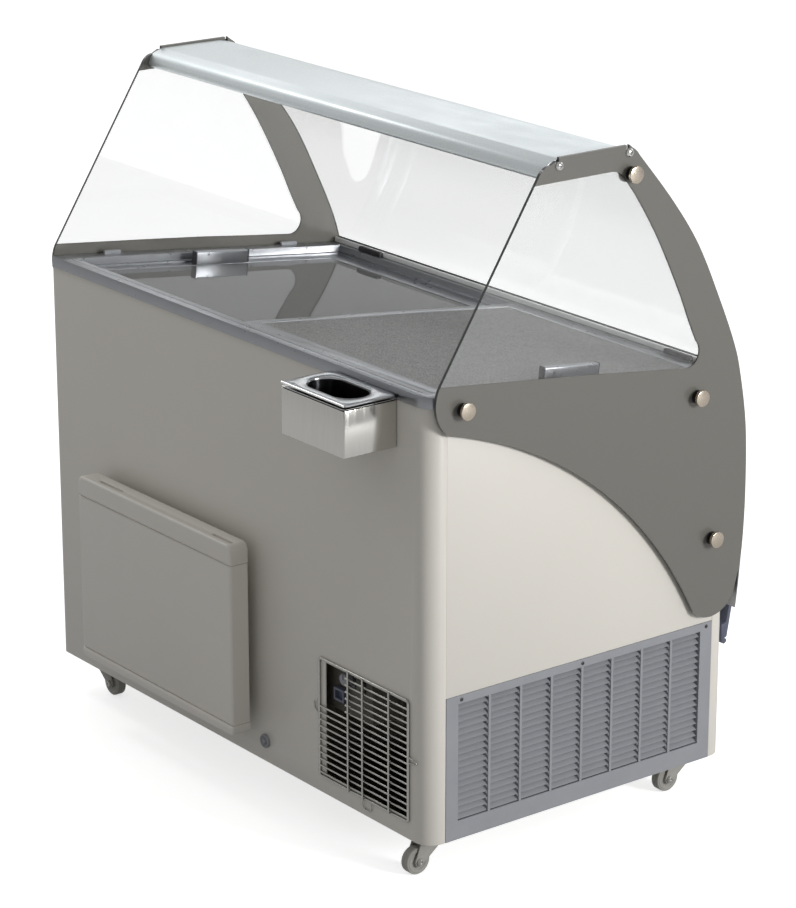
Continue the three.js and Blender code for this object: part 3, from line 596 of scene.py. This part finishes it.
def side_panel(side):
    """One pane: printed faces, a clear window and ground edges darkened with painted shade, as one closed
    skin.
    """
    outer_edge, inner_edge = printed_edge(), window_edge()
    bore_radius = 6
    bores = [arc((y, z), bore_radius, 0, 360, 24)[:-1] for y, z in BUTTONS.values()]
    mesh = bmesh.new()
    shared = {}

    def vertex(x, p):
        key = (x, round(p[0], 4), round(p[1], 4))
        if key not in shared:
            shared[key] = mesh.verts.new((side * x, p[0], p[1]))
        return shared[key]

    def edge(a, b):
        return mesh.edges.get((a, b)) or mesh.edges.new((a, b))

    skins = []
    for x in (SIDE_INNER, SIDE_OUTER):
        outline = [vertex(x, p) for p in outer_edge]
        inner = [vertex(x, p) for p in inner_edge]
        holes = [[vertex(x, p) for p in bore] for bore in bores]
        loops = [outline + inner[1:-1]] + holes
        edges = [edge(loop[i - 1], loop[i]) for loop in loops for i in range(len(loop))]
        filled = bmesh.ops.triangle_fill(mesh, use_beauty=True, use_dissolve=False, edges=edges)
        for face in filled["geom"]:
            if isinstance(face, bmesh.types.BMFace):
                face.material_index = INKED
        mesh.faces.new(inner).material_index = CLEAR
        skins.append([outline] + holes)
    for near, far in zip(*skins):
        for i in range(len(near)):
            mesh.faces.new((near[i - 1], near[i], far[i], far[i - 1])).material_index = GROUND
    name = SIDES[side]
    looks = [LOOKS["clear_glass"], PRINT, GLASS_EDGE_PAINTED_SHADE]
    add_piece(f"side_panel_{name}", mesh, looks, "cabinet", [f"side_glass_{name}"])


def standoff(side, name):
    """A flat polished disc on a neck of the same metal darkened as painted shade, with its washer and its
    spacer.
    """
    y, z = BUTTONS[name]
    tag = f"{SIDES[side]}_{name}"
    foot = 578.4 if name == "top" else 581.1  # the upper ones reach further in, under the canopy
    # Profiles of radius and crosswise place. The pane lies between the neck's two wider parts.
    disc = [
        (0, 609), (13.9, 609), (14.7, 608.7), (15, 608), (15, 604.2), (14.7, 603.4), (13.9, 603), (0, 603),
    ]
    neck = [
        (0, 602.9), (9, 602.9), (9, 593.2), (5.5, 593.2), (5.5, PANE_END), (13, PANE_END), (13, foot),
        (0, foot),
    ]
    washer = [(6, 592.1), (12, 592.1), (12, 593.1), (6, 593.1), (6, 592.1)]
    for kind, profile, material, slot, replaced in (
        ("stud", disc, LOOKS["champagne_metal"], "champagne_metal", [f"standoff_{tag}"]),
        ("neck", neck, NECK_PAINTED_SHADE, "champagne_metal", ()),
        ("gasket", washer, DARK_RUBBER, "dark_plastic", ()),
    ):
        mesh = turned_on_side(side, profile, y, z)
        soften(add_piece(f"{kind}_{tag}", mesh, material, "cabinet", replaced), 0)


def canopy_screw(side, index):
    """A bright domed screw with a round recess in each notch of the side glass."""
    y, z = NOTCHES[index]
    profile = [
        (0, 594.4), (2.6, 594.4), (3.2, 597.4), (5.2, 597), (7, 595.6), (8, 593.4), (8, 592.3), (2.6, 592.3),
        (2.6, 579), (0, 579),
    ]
    mesh = turned_on_side(side, profile, y + 3, z - 1, 36)
    name = f"canopy_screw_{SIDES[side]}_{index}"
    soften(add_piece(name, mesh, CHROME, "cabinet"), 0)


# ---------------------------------------------------------------- front glass and canopy


def offset(points, distance):
    """The polyline moved sideways, to the left of its direction."""
    moved = []
    for i, p in enumerate(points):
        before, after = Vector(points[max(i - 1, 0)]), Vector(points[min(i + 1, len(points) - 1)])
        along = (after - before).normalized()
        moved.append((p[0] - along.y * distance, p[1] + along.x * distance))
    return moved


def front_glass():
    """The curved front pane: clear faces, and ground edges and ends darkened with painted shade."""
    thickness = 6
    curve = spline_through(FRONT_EDGE[4:], 14)[1:-1]
    mesh = sweep(curve + offset(curve, thickness)[::-1], "yz", -PANE_END, PANE_END)
    count = len(curve)
    # In the order that sweep() makes them: narrow strips along the two long edges, those edges, the ends.
    ground = {0, 1, count - 2, count - 1, 2 * count - 1, 2 * count, 2 * count + 1}
    for i, face in enumerate(mesh.faces):
        face.material_index = int(i in ground)
    looks = [LOOKS["clear_glass"], GLASS_EDGE_PAINTED_SHADE]
    soften(add_piece("front_pane", mesh, looks, "cabinet", ["front_glass"]), 0)


def canopy():
    """Folded sheet: a bull-nosed operator edge with a returned lip, and a shallow fall to the front."""
    thickness = 2.2
    nose = spline_through([(-107, 1214), (-111.5, 1219), (-110, 1228), (-102, 1240), (-80, 1248)], 8)
    outer = nose + spline_through([(-80, 1248), (-30, 1248), (48, 1247.6)], 6)[1:]
    outer += spline_through([(48, 1247.6), (72, 1243), (90, 1236)], 6)[1:] + [(90, 1232)]
    mesh = sweep(outer + offset(outer, -thickness)[::-1], "yz", -PANE_END, PANE_END)
    look = LOOKS["canopy_aluminium"]
    soften(add_piece("canopy_sheet", mesh, look, "cabinet", ["canopy"]), 0.5)


# ---------------------------------------------------------------- dipper well

WELL = (410.5, -402.5)  # the middle of the well's mouth


def by_angle(outline, centre, count=96):
    """Points where rays from the centre, evenly spread by angle, meet a closed outline."""
    middle = Vector(centre)
    stretches = [(Vector(a) - middle, Vector(b) - middle) for a, b in zip(outline, outline[1:] + outline[:1])]
    points = []
    for i in range(count):
        angle = 2 * math.pi * i / count
        ray = Vector((math.cos(angle), math.sin(angle)))
        reached = 0
        for a, b in stretches:
            step = b - a
            cross = ray.x * step.y - ray.y * step.x
            if abs(cross) < 1e-9:
                continue
            distance = (a.x * step.y - a.y * step.x) / cross
            along = (a.x * ray.y - a.y * ray.x) / cross
            if distance > 0 and -1e-6 <= along <= 1 + 1e-6:
                reached = max(reached, distance)
        points.append((centre[0] + ray.x * reached, centre[1] + ray.y * reached))
    return points


def dipper():
    """The dipper box and its flange, and the lift-out plate with a bead along its front brightened as a
    painted highlight.
    """
    x0, x1, y0, y1 = 320, 497, -456, -345.6  # the box seen from above
    z0, z1, top = 778, 863, 871  # the box's underside and rim, and the top of the plate

    def box_outline(inset):
        return rounded_rect(x0 + inset, x1 - inset, y0 + inset, y1 - inset, 3 - inset)

    def seat(inset, z):
        return level(by_angle(box_outline(inset), WELL), z)

    def lip(inset, z):
        outline = rounded_rect(x0 + 1 + inset, x1 + 2 - inset, y0 + 1.5 + inset, -349.5 - inset, 5)
        return level(by_angle(outline, WELL), z)

    def mouth(grow, z):
        return level(by_angle(stadium(*WELL, 63.5 + grow, 32.5 + grow), WELL), z)

    wall = 1.5
    section = [(wall, z0 + wall + 1), (wall, z1 - 3), (0, z1 - 3), (0, z0 + 1), (0.8, z0)]
    shell = loft([level(box_outline(inset), z) for inset, z in section], close_first=True, close_last=True)
    soften(add_piece("dipper_shell", shell, DIPPER_STEEL, "cabinet", ["dipper_box"]), 0.3)

    plate = welded(loft([
        mouth(3, top - 12), mouth(3, top - 1.2), mouth(3.4, top - 0.4), mouth(4.2, top),
        lip(1.6, top), lip(0.6, top - 0.3), lip(0, top - 1.2), lip(0, top - 3.2), lip(0.5, top - 4),
        lip(1.4, top - 4.3), mouth(6, top - 4.3), mouth(4.6, top - 5.5), mouth(4.6, top - 12),
        mouth(3, top - 12),
    ]))
    soften(add_piece("dipper_plate", plate, DIPPER_TOP, "dipper_insert", ["dipper_top"]), 0)

    # The bead carries a painted highlight: it is brighter than the plate it is rolled from.
    bead = [(x0 + 1.6, y0 + 0.6, top - 1.7), (x1 - 1.6, y0 + 0.6, top - 1.7)]
    rods("dipper_bead", [bead], 2.1, BEAD_PAINTED_HIGHLIGHT, "dipper_insert")

    flange = welded(loft([
        mouth(8, z1 + 0.2), seat(1, z1 + 0.2), seat(0.2, z1 - 0.2), seat(0.2, z1 - 1), seat(1.4, z1 - 1.4),
        mouth(8, z1 - 1.4), mouth(8, z1 + 0.2),
    ]))
    soften(add_piece("dipper_flange", flange, CHROME, "cabinet"), 0)


# ---------------------------------------------------------------- night cover


def cap_outline(x0, x1, z0, z1, top_radius, low_radius):
    """A cap seen from the front, with its own radius at the top and at the bottom."""
    return (
        arc((x1 - low_radius, z0 + low_radius), low_radius, -90, 0, 5)
        + arc((x1 - top_radius, z1 - top_radius), top_radius, 0, 90, 8)
        + arc((x0 + top_radius, z1 - top_radius), top_radius, 90, 180, 8)
        + arc((x0 + low_radius, z0 + low_radius), low_radius, 180, 270, 5)
    )


def pillowed(outline, y0, y1, radius):
    """An outline in xz swept from y0 to y1, with its front edge rolled over by radius."""
    low = Vector([min(p[k] for p in outline) for k in range(2)])
    high = Vector([max(p[k] for p in outline) for k in range(2)])
    centre, half = (low + high) / 2, (high - low) / 2
    rings = [[(x, y1, z) for x, z in outline]]
    steps = 5
    for i in range(steps + 1):
        angle = math.pi / 2 * i / steps
        inset = radius * (1 - math.cos(angle))
        y = y0 + radius * (1 - math.sin(angle))
        scale_x, scale_z = 1 - inset / half.x, 1 - inset / half.y
        rings.append([
            (centre.x + (x - centre.x) * scale_x, y, centre.y + (z - centre.y) * scale_z) for x, z in outline
        ])
    return loft(rings, close_first=True, close_last=True)


def night_cover():
    """The stowed board between a top cap with two slots and a foot cap."""
    x0, x1, y0, y1 = -416, 86, -405, -367
    body, slot = "night_cover_board", "cap_plastic"
    board = pillowed(rounded_rect(x0, x1, 150.2, 457.8, 1.2, 3), y0, y1, 4.5)
    soften(add_piece("cover_board", board, LOOKS[slot], body, ["night_cover"]), 0)
    top = pillowed(cap_outline(x0 - 1, x1 + 1, 458.3, 497, 14, 2), y0 - 1, y1, 5)
    cap = add_piece("cover_top", top, LOOKS[slot], body, ["night_cover_top_cap"])
    for left, right in ((-360, -282), (12, 74)):
        cut_away(cap, sweep(rounded_rect(left, right, -394, -387, 3.4), "xy", 486, 510))
    soften(cap, 0.4)
    foot = pillowed(cap_outline(x0 - 1, x1 + 1, 130, 149.8, 1.5, 9), y0 - 1, y1, 5)
    soften(add_piece("cover_foot", foot, LOOKS[slot], body, ["night_cover_bottom_cap"]), 0)


# ---------------------------------------------------------------- wire grille


def wire_grille():
    """Round wires over the vent: a border, rows, three uprights in front of them and three hooks."""
    face = -CABINET_HALF_DEPTH - 0.3
    x0, x1, z0, z1 = 272, 533, 105, 334
    thick, thin = 2.5, 1.9
    outline = rounded_rect(x0 + thick, x1 - thick, z0 + thick, z1 - thick, 5, 4)
    border = [(x, face - thick, z) for x, z in outline]
    rods("grille_border", [border], thick, WIRE_STEEL, "cabinet", ["wire_grille"], closed=True)
    rows = []
    for i in range(17):
        z = 114.8 + 12.6 * i
        start = x0 + 2 if i < 11 else 352  # the upper rows leave the corner of the thermostat open
        rows.append([(start, face - 3, z), (x1 - 2, face - 3, z)])
    rods("grille_rows", rows, thin, WIRE_STEEL, "cabinet")
    uprights = [[(x, face - 6.4, z0 + 1), (x, face - 6.4, z1 - 1)] for x in (363, 405, 480)]
    rods("grille_uprights", uprights, thin, WIRE_STEEL, "cabinet")
    hooks = [
        [(x1 - 1, face - 3, 229), (x1 + 14, face - 4, 228), (x1 + 20, face - 2, 224),
         (x1 + 16, face - 1.6, 220), (x1 - 1, face - 3, 219)],
        [(x0 + 1, face - 3, 247), (x0 - 10, face - 4, 246), (x0 - 13, face - 2, 240),
         (x0 - 12, face - 2, 232), (x0 + 1, face - 3, 226)],
        [(402, face - 3, z0 + 1), (401, face - 4, 95), (405, face - 2, 88), (418, face - 2, 87),
         (424, face - 3, 92), (425, face - 3, z0 + 1)],
    ]
    curved = [spline_through(hook, 5) for hook in hooks]
    rods("grille_hooks", curved, 1.3, WIRE_STEEL, "cabinet")


# ---------------------------------------------------------------- small fittings


def drain():
    """The stopper's cap: a raised rim round a dished face, with a knob in the middle."""
    plug = [
        (0, -6), (3.6, -6), (4.6, -5.4), (5.2, -4), (5.8, -2.6), (8.2, -2.4), (9, -3), (9.8, -4.6),
        (11, -5.2), (12.2, -4.8), (13, -3.4), (13, 0), (9.4, 0), (9.4, 20), (0, 20),
    ]
    mesh, slot = turned(plug, (105, -345.3, 114.5), "y"), "grey_plastic"
    soften(add_piece("drain_cap", mesh, LOOKS[slot], "drain_stopper", ["drain_plug"]), 0)


def grille_screws():
    """Three dished screw heads along the top of the end grille."""
    profile = [(0, 581.9), (1.1, 581.9), (1.4, 582.7), (2.6, 582.6), (3.4, 582.1), (3.6, 581.6), (0, 581.6)]
    for i, y in enumerate((-272, -1, 291)):
        mesh = turned(profile, (0, y, 333), "x", 28)
        soften(add_piece(f"grille_screw_{i}", mesh, LOOKS["dark_plastic"], "cabinet"), 0)


def control_dial():
    """The black dial plate round the thermostat knob, with a raised ring and marks."""
    x, z, face = 334, 306, -325.0
    plate = sweep(rounded_rect(x - 18, x + 18, z - 18, z + 18, 3), "xz", face - 1.6, face - 0.1)
    ring = [(13.4, -1.4), (13.4, -3.2), (14.2, -3.8), (15.4, -3.8), (16.2, -3.2), (16.2, -1.4), (13.4, -1.4)]
    turned(ring, (x, face, z), "y", 48, plate)
    soften(add_piece("thermostat_dial", plate, LOOKS["black_paint"], "cabinet"), 0.3)
    marks = bmesh.new()
    steps = 8
    for i in range(steps + 1):
        angle = math.radians(-45 + 270 * i / steps)
        along = Vector((math.cos(angle), math.sin(angle)))
        across = Vector((-along.y, along.x)) * 0.4
        corners = [along * 16.6 + across, along * 17.8 + across, along * 17.8 - across, along * 16.6 - across]
        sweep([(x + c.x, z + c.y) for c in corners], "xz", face - 1.9, face - 1.5, marks)
    add_piece("thermostat_marks", marks, LOOKS["white_seal"], "cabinet")


def rim_stops():
    """Two low stops that stand on the far end of the rim."""
    for i, v in enumerate((-218, 202)):
        loops = []
        for inset, w in ((0, 0.1), (0, 5), (0.8, 6.6), (2, 7.2)):
            outline = rounded_rect(-573 + inset / 2, -567 - inset / 2, v - 19 + inset, v + 19 - inset, 1.5, 4)
            loops.append([on_top(a, b, w) for a, b in outline])
        mesh = loft(loops, close_first=True, close_last=True)
        soften(add_piece(f"rim_stop_{i}", mesh, LOOKS["grey_plastic"], "cabinet"), 0)


def caster_wheels():
    """Wheels with a ribbed tread, a stepped web and a raised hub, turned on their own axles."""
    half, radius = 10.0, 25.0
    web = [
        (4.4, half), (8, half), (8.6, half - 0.6), (9, half - 2.4), (16, half - 2.4), (17, half - 1.2),
        (20.5, half - 0.6), (21.4, half - 1.4), (22.4, half - 1.4), (radius - 1.4, half - 1),
    ]
    tread = [(radius - 0.2, half - 2.2), (radius, half - 3.4), (radius, 1.4), (radius - 0.5, 0.9)]
    upper = web + tread
    profile = upper + [(r, -x) for r, x in reversed(upper)] + [upper[0]]
    bolt = [(0, 17.2), (2.2, 17.2), (2.6, 18.4), (4.4, 18.4), (5.2, 17.8), (5.4, 16.7), (0, 16.7)]
    for name in ("rear_right", "rear_left", "front_right", "front_left"):
        low, high = cabinet_box(f"caster_wheel_{name}")
        centre = (low + high) / 2
        axis = "x" if high.x - low.x < high.y - low.y else "y"
        wheel = turned(profile, centre, axis, 64)
        look, wheel_name = LOOKS["caster_grey"], f"wheel_{name}"
        soften(add_piece(wheel_name, wheel, look, wheel_name, [f"caster_wheel_{name}"]), 0)
        bolts = bmesh.new()
        for sign in (1, -1):
            turned([(r, sign * h) for r, h in bolt], centre, axis, 32, bolts)
        soften(add_piece(f"axle_bolt_{name}", bolts, WIRE_STEEL, f"fork_{name}"), 0)


def condenser_fins():
    """Fine vertical fins between the tubes of the condenser, and the copper bends at its end."""
    low, high = cabinet_box("condenser")
    x0, x1, y0, y1, z0, z1 = low.x - 8, high.x + 1.5, low.y + 4, high.y - 4, 100, 318
    fins = bmesh.new()
    count, half = 84, 0.3
    for i in range(count):
        y = y0 + (y1 - y0) * i / (count - 1)
        sweep([(x0, z0), (x1, z0), (x1, z1), (x0, z1)], "xz", y - half, y + half, fins)
    add_piece("condenser_fin_pack", fins, FIN_METAL, "cabinet")
    bends = []
    x, y, reach, radius = 520, y0 - 3, 12, 9
    for i in range(6):
        z = 122 + 36 * i
        turn = [math.pi * k / 10 for k in range(11)]
        bend = [(x, y - reach * math.sin(t), z + radius - radius * math.cos(t)) for t in turn]
        bends.append([(x, y, z)] + bend + [(x, y, z + 2 * radius)])
    rods("condenser_bends", bends, 4, COPPER, "cabinet")


def handle_ends():
    """Dark caps that close the ends of the extruded lid handles."""
    # Where each cap starts, measured up from the rim surface; the lower lid's lies below it.
    for lid, w0 in (("lid_upper", -0.1), ("lid_lower", -16.1)):
        low, high = cabinet_box(f"{lid}_handle")
        outline = rounded_rect(low.x - 0.6, high.x + 0.6, w0, w0 + 25.6, 2.5, 4)
        for tag, v0, v1 in (("rear", -62.4, -60.2), ("front", 60.2, 62.4)):
            loops = [[on_top(x, v, w) for x, w in outline] for v in (v0, v1)]
            mesh = loft(loops, close_first=True, close_last=True)
            name = f"{lid}_handle_{tag}_cap"
            soften(add_piece(name, mesh, LOOKS["dark_plastic"], lid), 0.4)


# ---------------------------------------------------------------- studio


FLOOR_HALF_SIZE = 60  # metres
FLOOR_WHITE = (0.9, 0.9, 0.9, 1)
FLOOR_DARK = (0.42, 0.42, 0.42, 1)


def studio_floor():
    """A wide floor that glows white to the camera, less through glass, and less again in reflections."""
    mesh = bmesh.new()
    bmesh.ops.create_grid(mesh, x_segments=1, y_segments=1, size=FLOOR_HALF_SIZE)
    data = bpy.data.meshes.new("floor")
    mesh.to_mesh(data)
    mesh.free()
    look = Shader("studio_floor", FLOOR_WHITE, 0.9, Specular_IOR_Level=0.1)
    ray = look.node("ShaderNodeLightPath").outputs
    through = ray["Is Transmission Ray"]
    # Rays through glass count as glossy too, so they are taken off again.
    mirrored = look.combine("SUBTRACT", ray["Is Glossy Ray"], through)
    bounce = look.combine("MAXIMUM", ray["Is Diffuse Ray"], mirrored)
    look.set("Base Color", look.mix(bounce, FLOOR_WHITE, FLOOR_DARK))
    seen = look.combine("MAXIMUM", ray["Is Camera Ray"], look.combine("MULTIPLY", through, 0.78))
    glow = look.combine("MAXIMUM", seen, look.combine("MULTIPLY", ray["Is Glossy Ray"], 0.4))
    look.set("Emission Color", (1, 1, 1, 1))
    look.set("Emission Strength", look.combine("MULTIPLY", glow, 0.66))
    data.materials.append(look.material)
    place_object("floor", data)


def studio_sky():
    """An even grey all round, with a bright band above the horizon on the customer's side."""
    world = bpy.data.worlds.new("studio")
    bpy.context.scene.world = world
    world.use_nodes = True
    sky = Nodes(world.node_tree)
    direction = sky.node("ShaderNodeTexCoord").outputs["Generated"]
    towards = sky.node("ShaderNodeSeparateXYZ", Vector=direction).outputs
    across = sky.combine("SUBTRACT", towards["Y"], sky.combine("MULTIPLY", towards["X"], 0.7))
    behind = sky.ranged(across, 0, 1, -0.2, 0.8, "SMOOTHSTEP")
    above_horizon = sky.ranged(towards["Z"], 0.12, 1, 0.17, 0.31, "SMOOTHSTEP")
    below_zenith = sky.ranged(towards["Z"], 1, 0, 0.4, 0.75, "SMOOTHSTEP")
    band = sky.combine("MULTIPLY", behind, sky.combine("MULTIPLY", above_horizon, below_zenith))
    background = world.node_tree.nodes["Background"]
    sky.feed(background.inputs["Strength"], sky.combine("ADD", sky.combine("MULTIPLY", band, 1.05), 0.38))
    sky.feed(background.inputs["Color"], (1, 1, 1, 1))


def area_light(name, place, target, size, power):
    """A square or oblong lamp, in metres, that faces a target."""
    data = bpy.data.lights.new(name, "AREA")
    data.shape = "RECTANGLE"
    data.size, data.size_y = size
    data.energy = power
    lamp = place_object(name, data)
    lamp.location = place
    lamp.rotation_euler = (Vector(target) - Vector(place)).to_track_quat("-Z", "Y").to_euler()


def camera():
    """The view of the photograph, from beyond the right rear corner and above."""
    data = bpy.data.cameras.new("camera")
    data.lens = 131.4
    data.sensor_width = 36
    data.clip_end = 200
    eye = place_object("camera", data)
    azimuth, elevation = math.radians(52.43), math.radians(18.26)
    level_part = math.cos(elevation)
    back = Vector((level_part * math.sin(azimuth), -level_part * math.cos(azimuth), math.sin(elevation)))
    eye.location = (4.657, -3.544 + Y_SHIFT * MM, 2.497)
    eye.rotation_euler = back.to_track_quat("Z", "Y").to_euler()
    bpy.context.scene.camera = eye


# ---------------------------------------------------------------- build

dress_cad()
for side in SIDES:
    side_panel(side)
    for name in BUTTONS:
        standoff(side, name)
    for index in range(len(NOTCHES)):
        canopy_screw(side, index)
front_glass()
canopy()
dipper()
night_cover()
wire_grille()
drain()
grille_screws()
handle_ends()
control_dial()
rim_stops()
caster_wheels()
condenser_fins()

studio_floor()
studio_sky()
area_light("key", (5.7, 1.9, 2.0), (0.6, 0.0, 0.6), (1.4, 1.4), 204)
area_light("edge", (-3.5, -0.75, 4.1), (0.1, -0.4, 0.85), (1.2, 1.2), 22)
camera()
bpy.context.scene.view_settings.view_transform = "Standard"
